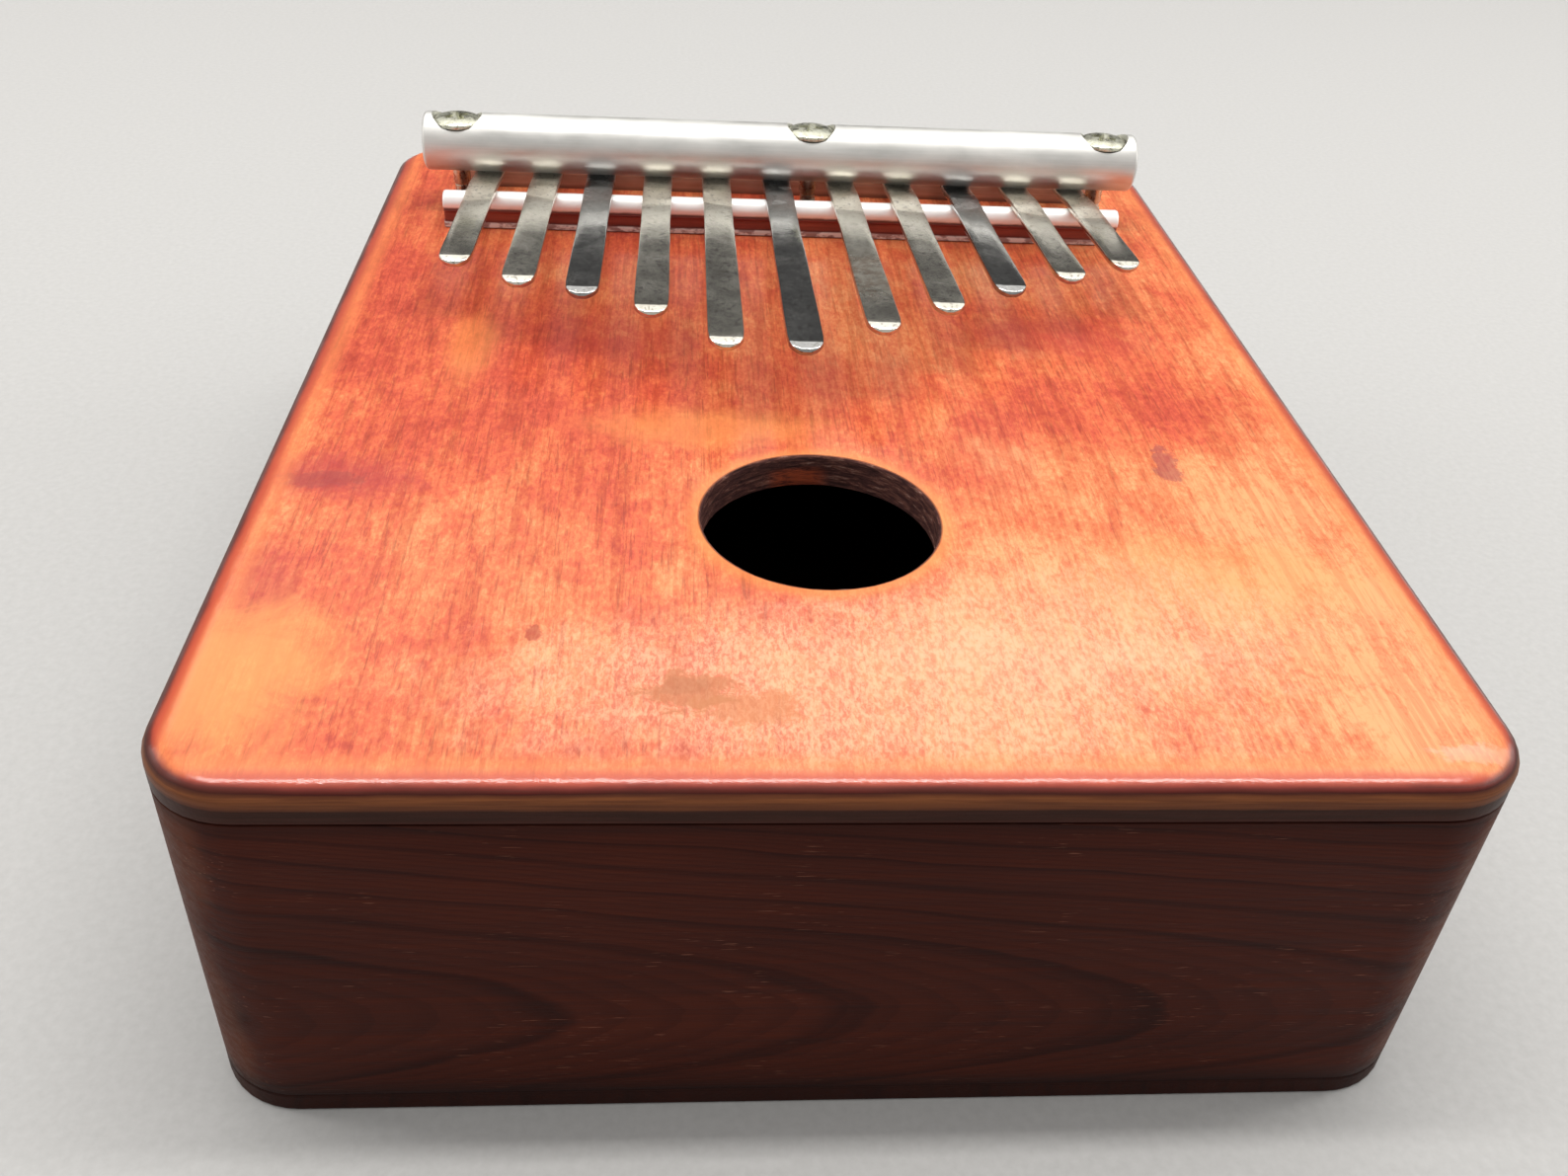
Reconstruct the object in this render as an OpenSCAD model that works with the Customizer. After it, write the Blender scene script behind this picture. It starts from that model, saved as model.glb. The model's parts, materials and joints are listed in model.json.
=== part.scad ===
// Box mbira: a hollow wooden box with eleven flat steel tines.
// A round pressure bar clamps each tine down between two bridges. Behind the front
// bridge a tine is a fixed heel, and in front of it a free tongue that is plucked.
// +X is to the player's right, +Y points away from the player, +Z is up.
// The origin is the centre of the underside.

/* [Box] */
// Width of the box
box_w = 120; // [118:1:135]
// Length of the box
box_l = 150; // [146:1:180]
// Height of the box without the tines
box_h = 43; // [36:1:60]
// Radius of the four upright corners
corner_r = 8.8; // [5:0.2:10]
// Thickness of the plywood soundboard
top_t = 4; // [3:0.5:5]
// Thickness of the bottom board
back_t = 2.5; // [2:0.5:5]
// Thickness of the four walls
wall_t = 10; // [10:0.5:12]
// Roundover along the top edge of the soundboard
edge_r = 1.8; // [1:0.2:2.4]

/* [Sound hole] */
// Diameter of the sound hole
hole_d = 25; // [20:1:30]
// Distance from the front of the box to the centre of the hole
hole_from_front = 40.4; // [34:0.2:44]
// How far the hole sits to the left of the centre line
hole_left = 0.5; // [0:0.1:1]

/* [Tines] */
// Width of a tine
tine_w = 4.2; // [3.6:0.1:5.2]
// Thickness of a tine
tine_t = 0.8; // [0.6:0.05:1]
// Even distance from one tine to the next
tine_pitch = 8.72; // [8.6:0.02:8.8]
// Length of the tongues of tines 1 to 4, from the front rod to the tip
left_tongues = [30.2, 36.9, 40.1, 45.6]; // [20:0.1:57]
// Length of the tongues of tines 5 to 7
middle_tongues = [54.8, 55.7, 49.3]; // [20:0.1:57]
// Length of the tongues of tines 8 to 11
right_tongues = [42.5, 35.9, 30.6, 25.6]; // [20:0.1:57]
// How far tines 1 to 4 stand off their even places, to the right
left_nudges = [0, -0.2, -1, -1.3]; // [-1.4:0.1:0.6]
// How far tines 5 to 7 stand off their even places, to the right
middle_nudges = [-1.4, -1.1, -0.2]; // [-1.4:0.1:0.6]
// How far tines 8 to 11 stand off their even places, to the right
right_nudges = [-0.2, 0, 0.2, 0]; // [-1.4:0.1:0.6]
// Rise of the tongues towards their tips, in degrees
tongue_rise = 4; // [4:0.5:5]

/* [Pressure bar and bridges] */
// Diameter of the pressure bar
bar_d = 8.2; // [8:0.1:9]
// Length of the pressure bar
bar_l = 105; // [104:1:110]
// Diameter of the rod on the front bridge
rod_d = 3; // [2.5:0.1:3.2]
// Distance from the rear of the box to the rod on the front bridge
rod_from_rear = 33.8; // [32:0.2:36]
// Height of the front bridge's wooden strip
bridge_h = 3.1; // [2.8:0.1:3.4]
// Distance from the front rod to the pressure bar
rod_to_bar = 8.8; // [8.6:0.1:9.4]
// Distance from the pressure bar to the crest of the rear bridge
bar_to_rear = 9; // [9:0.1:10]

/* [Screws] */
// Diameter of a screw head
head_d = 6.8; // [6:0.1:7.2]
// Diameter of a screw's shank
shank_d = 2.5; // [2.2:0.1:3.2]
// Length of a screw under its head
screw_l = 24; // [22:0.5:26]
// Distance from the centre line to either outer screw
screw_reach = 47.7; // [47.6:0.1:48.6]

/* [Hidden] */
$fn = 64;
slack = 0.15;          // gap between a tine and what it rests on or is pressed by
split = 0.1;           // gap between a heel and the round nose of its tongue
fit = 0.1;             // radial gap round a screw
past = 1;              // how far a cutter reaches past a face
hole_y = hole_from_front - box_l / 2;

// Heights along the string of contacts: front rod, pressure bar, rear bridge
rod_y = box_l / 2 - rod_from_rear;
bar_y = rod_y + rod_to_bar;
rear_y = bar_y + bar_to_rear;
rod_seat = 1.1;        // depth to which the rod sits in its strip
bar_drop = 1.1;        // how far the bar presses the tines below the front rod
rear_lift = 0.6;       // how far they rise again to the rear bridge
rod_z = box_h + bridge_h - rod_seat + rod_d / 2;
over_rod = rod_z + rod_d / 2 + slack;
under_bar = over_rod - bar_drop;
over_rear = under_bar + rear_lift;
bar_z = under_bar + tine_t + slack + bar_d / 2;

strip_l = 98.5;        // length of both bridges
strip_w = 6;
strip_front = 1.2;     // how far the strip stands in front of the rod's centre
rear_w = 5;
bar_edge = 0.5;        // chamfer on the ends of the bar
brace_w = 26;
brace_h = 14;

tine_count = 11;
middle_tine = 6;
tail_l = 6.5;          // length of a heel behind the rear bridge's crest
tail_step = 0.25;      // how much shorter each tail is, outwards from the middle
tip_bend = 2.2;        // length of the turned-down tip
tip_drop = 0.7;        // how far the tip turns down
tip_corner = 1.3;      // radius of the tip's corners

cone_h = 2;            // depth of a screw head's cone
head_rim = 0.35;       // upright rim above the cone
head_dome = 0.7;       // height of the dome on the head
head_sink = 0.9;       // how far the rim's top lies below the top of the bar
point_l = 5;           // tapered point of a screw
slot_w = 1;            // cross recess in the head
slot_l = 3.4;
slot_depth = 1.2;
head_z = bar_z + bar_d / 2 - head_sink;

lengths = concat(left_tongues, middle_tongues, right_tongues);
nudges = concat(left_nudges, middle_nudges, right_nudges);
function tine_x(i) = (i - middle_tine) * tine_pitch + nudges[i - 1];
function tail(i) = tail_l - tail_step * abs(i - middle_tine);
function heel_name(i) = str("tine_", i, "_heel");
function tongue_name(i) = str("tine_", i, "_tongue");

// The middle screw stands halfway between the middle tine and the next
screw_x = [-screw_reach, (tine_x(middle_tine) + tine_x(middle_tine + 1)) / 2, screw_reach];
screw_names = ["bar_screw_left", "bar_screw_middle", "bar_screw_right"];

wood = "#43180f";
stain = "#b8431f";
pale_wood = "#b98a5a";
steel = "#7f7c77";
bright = "#c9c9c7";

// Rounded rectangle, centred, made of true arcs
module rounded_rect(w, l, r) {
    square([w - 2 * r, l], center = true);
    square([w, l - 2 * r], center = true);
    for (x = [-1, 1], y = [-1, 1])
        translate([x * (w / 2 - r), y * (l / 2 - r)]) circle(r);
}

// Quarter circle whose outer side is at x = reach
module quarter_round(reach, r) {
    translate([reach - r, 0]) intersection() {
        circle(r);
        square(r);
    }
}

// Rolled rim that runs round the top edge of the soundboard
module rolled_rim() {
    for (turn = [0:90:270]) {
        across = turn % 180 == 0 ? box_w : box_l;
        along = turn % 180 == 0 ? box_l : box_w;
        rotate(turn) translate([across / 2 - corner_r, along / 2 - corner_r, 0]) {
            rotate_extrude(angle = 90) quarter_round(corner_r, edge_r);
            rotate([90, 0, 0]) linear_extrude(along - 2 * corner_r)
                quarter_round(corner_r, edge_r);
        }
    }
}

// Clearance holes for the three screws, from z = bottom upwards
module screw_holes(bottom, h) {
    for (x = screw_x) translate([x, bar_y, bottom]) cylinder(d = shank_d + 2 * fit, h = h);
}

module soundboard() {
    color(stain) difference() {
        translate([0, 0, box_h - top_t]) {
            linear_extrude(top_t - edge_r) rounded_rect(box_w, box_l, corner_r);
            linear_extrude(top_t)
                rounded_rect(box_w - 2 * edge_r, box_l - 2 * edge_r, corner_r - edge_r);
            translate([0, 0, top_t - edge_r]) rolled_rim();
        }
        translate([-hole_left, hole_y, box_h - top_t - past])
            cylinder(d = hole_d, h = top_t + 2 * past);
        screw_holes(box_h - top_t - past, top_t + 2 * past);
    }
}

// One end wall, which takes in two rounded corners
module end_wall() {
    translate([0, 0, back_t]) linear_extrude(box_h - top_t - back_t) intersection() {
        rounded_rect(box_w, box_l, corner_r);
        translate([-box_w / 2, -box_l / 2]) square([box_w, wall_t]);
    }
}

module front_wall() { color(wood) end_wall(); }

module rear_wall() { color(wood) rotate(180) end_wall(); }

// One side wall, butted between the end walls
module side_wall() {
    translate([-box_w / 2, wall_t - box_l / 2, back_t])
        cube([wall_t, box_l - 2 * wall_t, box_h - top_t - back_t]);
}

module left_wall() { color(wood) side_wall(); }

module right_wall() { color(wood) rotate(180) side_wall(); }

module back_plate() { color(wood) linear_extrude(back_t) rounded_rect(box_w, box_l, corner_r); }

// Hardwood strip under the soundboard that the screws bite into
module bridge_brace() {
    brace_l = box_w - 2 * wall_t;
    color(pale_wood) difference() {
        translate([-brace_l / 2, bar_y - brace_w / 2, box_h - top_t - brace_h])
            cube([brace_l, brace_w, brace_h]);
        screw_holes(head_z - screw_l - fit, screw_l);
    }
}

// Low strip that carries the front rod in a round groove
module front_bridge() {
    color(wood) difference() {
        translate([-strip_l / 2, rod_y - strip_front, box_h]) cube([strip_l, strip_w, bridge_h]);
        translate([-strip_l / 2 - past, rod_y, rod_z]) rotate([0, 90, 0])
            cylinder(d = rod_d, h = strip_l + 2 * past);
    }
}

module front_bridge_rod() {
    color(bright) translate([-strip_l / 2, rod_y, rod_z]) rotate([0, 90, 0])
        cylinder(d = rod_d, h = strip_l);
}

// Strip with a half-round crest that carries the rear of the heels
module rear_bridge() {
    crest_z = over_rear - slack - box_h;
    color(wood) translate([-strip_l / 2, rear_y, box_h]) rotate([90, 0, 90])
        linear_extrude(strip_l) intersection() {
            translate([-rear_w / 2, 0]) square([rear_w, crest_z]);
            union() {
                translate([0, crest_z - rear_w / 2]) circle(rear_w / 2);
                translate([-rear_w / 2, -past]) square([rear_w, crest_z + past - rear_w / 2]);
            }
        }
}

// Half outline of a screw head's cone and rim, with its top at z = 0
module head_outline(extra) {
    r = head_d / 2 + extra;
    neck = shank_d / 2 + extra;
    polygon([[0, -cone_h - head_rim], [neck, -cone_h - head_rim], [r, -head_rim], [r, 0], [0, 0]]);
}

// Round bar, drilled and countersunk for the three screws
module pressure_bar() {
    r = bar_d / 2;
    half = bar_l / 2;
    color(bright) difference() {
        translate([0, bar_y, bar_z]) rotate([0, 90, 0]) rotate_extrude()
            polygon([[0, -half], [r - bar_edge, -half], [r, bar_edge - half],
                     [r, half - bar_edge], [r - bar_edge, half], [0, half]]);
        screw_holes(bar_z - bar_d, 2 * bar_d);
        for (x = screw_x) translate([x, bar_y, head_z]) {
            rotate_extrude() head_outline(fit);
            cylinder(d = head_d + 2 * fit, h = bar_d);
        }
    }
}

// Countersunk screw with a low domed head and a cross recess
module bar_screw(x) {
    dome_r = (pow(head_d / 2, 2) + pow(head_dome, 2)) / (2 * head_dome);
    color(bright) translate([x, bar_y, head_z]) difference() {
        union() {
            rotate_extrude() head_outline(0);
            intersection() {
                translate([0, 0, head_dome - dome_r]) sphere(dome_r);
                cylinder(d = head_d, h = head_d);
            }
            translate([0, 0, point_l - screw_l]) cylinder(d = shank_d, h = screw_l - point_l);
            translate([0, 0, -screw_l]) cylinder(d1 = shank_d / 4, d2 = shank_d, h = point_l);
        }
        for (turn = [0, 90]) rotate(turn)
            translate([-slot_l / 2, -slot_w / 2, head_dome - slot_depth])
            cube([slot_l, slot_w, slot_depth + past]);
    }
}

// Clamped rear part of a tine, pressed down by the bar between the two bridges
module tine_heel(i) {
    front_y = rod_y + tine_t / 2 + split;
    front_z = over_rod - bar_drop * (tine_t / 2 + split) / rod_to_bar;
    end_y = rear_y + tail(i);
    end_z = over_rear + rear_lift * tail(i) / bar_to_rear;
    color(steel) translate([tine_x(i) - tine_w / 2, 0, 0]) rotate([90, 0, 90])
        linear_extrude(tine_w)
        polygon([[front_y, front_z], [bar_y, under_bar], [end_y, end_z],
                 [end_y, end_z + tine_t], [bar_y, under_bar + tine_t],
                 [front_y, front_z + tine_t]]);
}

// Plan of a tongue, with rounded corners at the tip
module tongue_plan(l) {
    translate([-tine_w / 2, tip_corner - l]) square([tine_w, l - tip_corner + tine_t]);
    translate([tip_corner - tine_w / 2, -l]) square([tine_w - 2 * tip_corner, tip_corner]);
    for (x = [-1, 1]) translate([x * (tine_w / 2 - tip_corner), tip_corner - l])
        circle(tip_corner);
}

// Side of a tongue, with a round nose at the front rod and its tip turned down
module tongue_side(l) {
    nose = tine_t / 2;
    difference() {
        polygon([[nose, 0], [tip_bend - l, 0], [-l, -tip_drop],
                 [-l, tine_t - tip_drop], [tip_bend - l, tine_t], [nose, tine_t]]);
        difference() {
            square([tine_t, tine_t]);
            translate([0, nose]) circle(nose);
        }
    }
}

// Free front part of a tine, which bends about the front rod when it is plucked
module tine_tongue(i) {
    l = lengths[i - 1];
    nose = tine_t / 2;
    color(steel) translate([tine_x(i), rod_y, over_rod + nose]) rotate([-tongue_rise, 0, 0])
        intersection() {
            translate([0, 0, -2 * tip_drop]) linear_extrude(4 * tine_t) tongue_plan(l);
            translate([-tine_w / 2, 0, -nose]) rotate([90, 0, 90]) linear_extrude(tine_w)
                tongue_side(l);
        }
}

soundboard();
front_wall();
rear_wall();
left_wall();
right_wall();
back_plate();
bridge_brace();
front_bridge();
front_bridge_rod();
rear_bridge();
pressure_bar();
for (k = [0:2]) bar_screw(screw_x[k]);
for (i = [1:tine_count]) tine_heel(i);
for (i = [1:tine_count]) tine_tongue(i);
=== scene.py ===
"""Box mbira, dressed for its studio picture.

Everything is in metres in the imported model's own frame: +X right, +Y away from the player,
+Z up, with the origin under the centre of the box.
"""
import json
import math
from collections import namedtuple

import bmesh
import bpy
from mathutils import Matrix, Vector, noise


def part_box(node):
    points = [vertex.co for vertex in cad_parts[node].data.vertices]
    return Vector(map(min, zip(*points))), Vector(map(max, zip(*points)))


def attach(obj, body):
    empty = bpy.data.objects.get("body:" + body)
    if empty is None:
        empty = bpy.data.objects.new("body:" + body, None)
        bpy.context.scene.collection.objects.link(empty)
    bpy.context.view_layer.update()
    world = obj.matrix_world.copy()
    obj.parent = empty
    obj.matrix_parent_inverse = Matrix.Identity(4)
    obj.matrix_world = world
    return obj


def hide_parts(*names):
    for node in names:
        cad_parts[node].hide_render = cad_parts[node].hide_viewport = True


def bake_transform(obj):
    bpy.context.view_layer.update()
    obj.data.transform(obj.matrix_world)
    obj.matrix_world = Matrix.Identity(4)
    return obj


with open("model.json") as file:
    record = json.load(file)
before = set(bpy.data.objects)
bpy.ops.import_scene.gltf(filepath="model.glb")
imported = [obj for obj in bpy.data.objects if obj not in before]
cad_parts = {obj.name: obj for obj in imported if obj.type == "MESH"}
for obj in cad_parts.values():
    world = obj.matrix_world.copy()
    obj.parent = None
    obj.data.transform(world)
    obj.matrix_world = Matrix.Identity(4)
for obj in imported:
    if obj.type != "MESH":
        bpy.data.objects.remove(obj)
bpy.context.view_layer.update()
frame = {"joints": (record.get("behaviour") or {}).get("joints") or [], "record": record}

MM = 0.001
BOX = "box"                       # the body that everything but the tines belongs to
TINES = range(1, 12)
SCREWS = ("bar_screw_left", "bar_screw_middle", "bar_screw_right")
joints = {j["name"]: j for j in frame["joints"]}


# ---------------------------------------------------------------- measures from the frame

Span = namedtuple("Span", "low high size mid")


def span(node):
    """A CAD node's lowest corner, highest corner, size and middle."""
    low, high = (Vector(c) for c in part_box(node))
    return Span(low, high, high - low, (low + high) / 2)


BOARD = span("soundboard")
TOP = BOARD.high.z
HALF_W, HALF_L = BOARD.size.x / 2, BOARD.size.y / 2
hole_mount = next(m for m in frame["record"]["mounts"] if m["name"] == "sound_hole")
HOLE = Vector(hole_mount["pos_m"])
HOLE_R = hole_mount["dims"]["r_mm"] * MM
CORNER_R = 8.8 * MM               # upright corners of the box
EDGE_IN, EDGE_DOWN = 2.9 * MM, 1.7 * MM     # how far the rolled rim runs in and down
BEAD_R = 0.42 * MM                # bead along the foot of the front bridge


# ---------------------------------------------------------------- mesh tools

def arc(cx, cy, r, start, end, steps):
    """Points along an arc, angles in degrees."""
    turns = [math.radians(start + (end - start) * k / steps) for k in range(steps + 1)]
    return [(cx + r * math.cos(a), cy + r * math.sin(a)) for a in turns]


def line(a, b, steps):
    """Points from a to just short of b."""
    return [(a[0] + (b[0] - a[0]) * k / steps, a[1] + (b[1] - a[1]) * k / steps)
            for k in range(steps)]


def wobble(x, y, z, size, amount, seed=0.0):
    """Smooth noise between -amount and amount, with features about size across."""
    return amount * noise.noise(Vector((x / size + seed, y / size - seed, z / size + 2 * seed)))


def add_object(name, mesh):
    piece = bpy.data.objects.new(name, mesh)
    bpy.context.scene.collection.objects.link(piece)
    return piece


def smooth(piece, angle=32):
    """Smooth shading, with creases kept where faces meet at more than the angle."""
    work = bmesh.new()
    work.from_mesh(piece.data)
    limit = math.radians(angle)
    for face in work.faces:
        face.smooth = True
    for edge in work.edges:
        edge.smooth = len(edge.link_faces) == 2 and edge.calc_face_angle(0) < limit
    work.to_mesh(piece.data)
    work.free()
    return piece


def loft(name, rings, closed=False, angle=32):
    """A closed mesh through rings of points. Open lofts get a cap at each end."""
    n = len(rings[0])
    verts = [p for ring in rings for p in ring]
    last = len(rings) if closed else len(rings) - 1
    faces = []
    for i in range(last):
        a, b = i * n, (i + 1) % len(rings) * n
        faces += [(a + k, a + (k + 1) % n, b + (k + 1) % n, b + k) for k in range(n)]
    if not closed:
        faces.append(tuple(reversed(range(n))))
        faces.append(tuple(range(last * n, last * n + n)))
    mesh = bpy.data.meshes.new(name)
    mesh.from_pydata(verts, [], faces)
    work = bmesh.new()
    work.from_mesh(mesh)
    bmesh.ops.recalc_face_normals(work, faces=work.faces)
    work.to_mesh(mesh)
    work.free()
    return smooth(add_object(name, mesh), angle)


def shrunk(outline, by):
    """A convex outline moved inwards, corner by corner."""
    n = len(outline)
    result = []
    for k in range(n):
        before, here, after = (Vector(outline[(k + s) % n]) for s in (-1, 0, 1))
        a, b = (here - before).normalized(), (after - here).normalized()
        inward = Vector((-a.y - b.y, a.x + b.x)).normalized()
        result.append(tuple(here + inward * by / max(0.5, inward.dot(Vector((-a.y, a.x))))))
    return result


def slab(name, outline, low, high, soft, steps=3):
    """An upright prism on a convex outline, its rims softened."""
    turns = [math.pi / 2 * k / steps for k in range(steps + 1)]
    levels = [(low + soft * (1 - math.sin(t)), soft * (1 - math.cos(t))) for t in reversed(turns)]
    levels += [(low + (high - low) * k / 6, 0.0) for k in range(1, 6)]
    levels += [(high - soft * (1 - math.sin(t)), soft * (1 - math.cos(t))) for t in turns]
    return loft(name, [[(u, v, z) for u, v in shrunk(outline, inset)] for z, inset in levels])


def carve(piece, cutters):
    """Cuts the cutters out of a piece, for good, and removes them."""
    for cutter in cutters:
        cut = piece.modifiers.new("cut", "BOOLEAN")
        cut.operation, cut.solver, cut.object = "DIFFERENCE", "EXACT", cutter
    bpy.context.view_layer.update()
    graph = bpy.context.evaluated_depsgraph_get()
    mesh = bpy.data.meshes.new_from_object(piece.evaluated_get(graph))
    piece.modifiers.clear()
    piece.data = mesh
    for cutter in cutters:
        bpy.data.objects.remove(cutter)
    return smooth(piece)


def turned(name, profile, centre, segments=64, axis="Z", angle=32):
    """A solid of revolution from (radius, height) pairs, about an axis through centre."""
    rings = []
    for r, h in profile:
        ring = []
        for k in range(segments):
            a = 2 * math.pi * k / segments
            c, s = r * math.cos(a), r * math.sin(a)
            offset = (c, s, h) if axis == "Z" else (h, c, s)
            ring.append(tuple(Vector(offset) + centre))
        rings.append(ring)
    return loft(name, rings, angle=angle)


def rounded_outline(half_w, half_l, r, corner_steps=10, side_steps=14):
    """A rounded rectangle, anticlockwise from the right side."""
    bends = [arc(sx * (half_w - r), sy * (half_l - r), r, turn, turn + 90, corner_steps)
             for sx, sy, turn in ((1, 1, 0), (-1, 1, 90), (-1, -1, 180), (1, -1, 270))]
    points = []
    for k, bend in enumerate(bends):
        points += bend[:-1]
        points += line(bend[-1], bends[(k + 1) % 4][0], side_steps)
    return points


# ---------------------------------------------------------------- material tools

class Nodes:
    """Builds nodes in a tree, with x, y and z of a place to work from."""

    def __init__(self, tree, place):
        self.tree = tree
        self.place = tree.nodes.new("ShaderNodeTexCoord").outputs[place]
        split = tree.nodes.new("ShaderNodeSeparateXYZ")
        tree.links.new(self.place, split.inputs[0])
        self.x, self.y, self.z = split.outputs

    def put(self, socket, value):
        if isinstance(value, bpy.types.NodeSocket):
            self.tree.links.new(value, socket)
        else:
            socket.default_value = value

    def math(self, operation, a, b=0.0):
        node = self.tree.nodes.new("ShaderNodeMath")
        node.operation = operation
        for socket, value in zip(node.inputs, (a, b)):
            self.put(socket, value)
        return node.outputs[0]

    def window(self, value, low, high, to_low=0.0, to_high=1.0):
        """Smooth step from low to high."""
        node = self.tree.nodes.new("ShaderNodeMapRange")
        node.interpolation_type = "SMOOTHSTEP"
        for socket, v in zip(node.inputs, (value, low, high, to_low, to_high)):
            self.put(socket, v)
        return node.outputs[0]

    def add(self, a, b):
        return self.math("ADD", a, b)

    def less(self, a, b):
        return self.math("SUBTRACT", a, b)

    def times(self, a, b):
        return self.math("MULTIPLY", a, b)

    def around(self, value, middle, amount):
        """A noise value turned into a swing of about amount around 0."""
        return self.times(self.less(value, middle), amount)

    def length(self, a, b):
        """Length of the flat vector (a, b)."""
        return self.math("SQRT", self.add(self.times(a, a), self.times(b, b)))


class Shader(Nodes):
    """A small builder for one procedural material."""

    def __init__(self, name, **surface):
        self.material = bpy.data.materials.new(name)
        self.material.use_nodes = True
        super().__init__(self.material.node_tree, "Object")
        self.surface = self.tree.nodes["Principled BSDF"]
        for socket, value in surface.items():
            self.surface.inputs[socket.replace("_", " ")].default_value = value

    def stretch(self, sx, sy, sz, shift=(0.0, 0.0, 0.0)):
        """The place, scaled to features per metre along each axis."""
        node = self.tree.nodes.new("ShaderNodeMapping")
        node.inputs["Scale"].default_value = (sx, sy, sz)
        node.inputs["Location"].default_value = shift
        self.tree.links.new(self.place, node.inputs["Vector"])
        return node.outputs[0]

    def noise(self, vector, detail=4.0, rough=0.55, bend=0.0, scale=1.0):
        node = self.tree.nodes.new("ShaderNodeTexNoise")
        self.tree.links.new(vector, node.inputs["Vector"])
        for socket, value in (("Scale", scale), ("Detail", detail), ("Roughness", rough),
                              ("Distortion", bend)):
            node.inputs[socket].default_value = value
        return node.outputs[0]

    def ramp(self, value, stops):
        node = self.tree.nodes.new("ShaderNodeValToRGB")
        ramp = node.color_ramp
        while len(ramp.elements) < len(stops):
            ramp.elements.new(0.5)
        for element, (at, colour) in zip(ramp.elements, stops):
            element.position = at
            element.color = (*colour, 1.0)
        self.put(node.inputs[0], value)
        return node.outputs[0]

    def mix(self, share, a, b, blend="MIX"):
        node = self.tree.nodes.new("ShaderNodeMix")
        node.data_type, node.blend_type = "RGBA", blend
        self.put(node.inputs[0], share)
        for socket, value in ((node.inputs[6], a), (node.inputs[7], b)):
            self.put(socket, (*value, 1.0) if isinstance(value, tuple) else value)
        return node.outputs[2]

    def spot(self, x, y, rx, ry, ragged, inner=0.35, outer=1.25, fray=1.3):
        """A soft-edged stain on the top face: 1 inside, 0 outside, with a ragged outline."""
        far = self.length(self.math("DIVIDE", self.less(self.x, x), rx),
                          self.math("DIVIDE", self.less(self.y, y), ry))
        far = self.add(far, self.around(ragged, 0.5, fray))
        return self.window(far, inner, outer, 1.0, 0.0)

    def bump(self, height, distance, strength=1.0, after=None):
        node = self.tree.nodes.new("ShaderNodeBump")
        node.inputs["Strength"].default_value = strength
        node.inputs["Distance"].default_value = distance
        self.tree.links.new(height, node.inputs["Height"])
        if after is not None:
            self.tree.links.new(after, node.inputs["Normal"])
        return node.outputs[0]

    def finish(self, colour=None, rough=None, normal=None, coat_normal=None):
        for socket, value in (("Base Color", colour), ("Roughness", rough), ("Normal", normal),
                              ("Coat Normal", coat_normal)):
            if value is not None:
                self.put(self.surface.inputs[socket], value)
        return self.material


def dress(piece, material, body=BOX, nodes=()):
    """Gives a piece its one material, hides the CAD nodes it stands for, and hangs it on the body it
    rides on.
    """
    piece.data.materials.clear()
    piece.data.materials.append(material)
    if nodes:
        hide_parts(*nodes)
    if body:
        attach(piece, body)
    return piece


# ---------------------------------------------------------------- materials

def stain_colour(s, clouds, speckle, dust_and_glints):
    """Blotchy red-orange stain, paler towards the front and the right."""
    patches = s.noise(s.stretch(85, 62, 85, (9.3, 2.2, 0)), 4, 0.55, 0.5)
    mottle = s.noise(s.stretch(300, 210, 300, (6, 3, 0)), 4, 0.65, 0.6)
    fade = s.add(s.window(s.y, -HALF_L, 20 * MM, 0.12, 0.04),
                 s.window(s.x, -HALF_W, HALF_W, -0.03, 0.05))
    tone = s.add(s.times(clouds, 0.75), s.times(patches, 0.55))
    tone = s.add(s.less(tone, 0.12), fade)
    for layer, middle, amount in ((mottle, 0.5, 0.40), (speckle, 0.5, 0.40), (dust_and_glints, 0.485, 0.62)):
        tone = s.add(tone, s.around(layer, middle, amount))
    return s.ramp(tone, ((0.26, (0.44, 0.052, 0.030)), (0.42, (0.58, 0.088, 0.045)),
                         (0.55, (0.68, 0.135, 0.056)), (0.68, (0.76, 0.215, 0.082)),
                         (0.86, (0.84, 0.350, 0.150))))


def board_grain(s, colour, clouds, grain, fibre):
    """Darker streaks and open pores along Y."""
    streak = s.window(grain, 0.40, 0.58, 0.84, 1.04)
    shade = s.ramp(streak, ((0.78, (0.74, 0.62, 0.58)), (1.0, (1, 1, 1))))
    colour = s.mix(1.0, colour, shade, "MULTIPLY")
    pores = s.times(s.window(fibre, 0.34, 0.46, 1.0, 0.0), s.window(clouds, 0.35, 0.7, 0.42, 0.16))
    return s.mix(pores, colour, (0.20, 0.026, 0.014))


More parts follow.
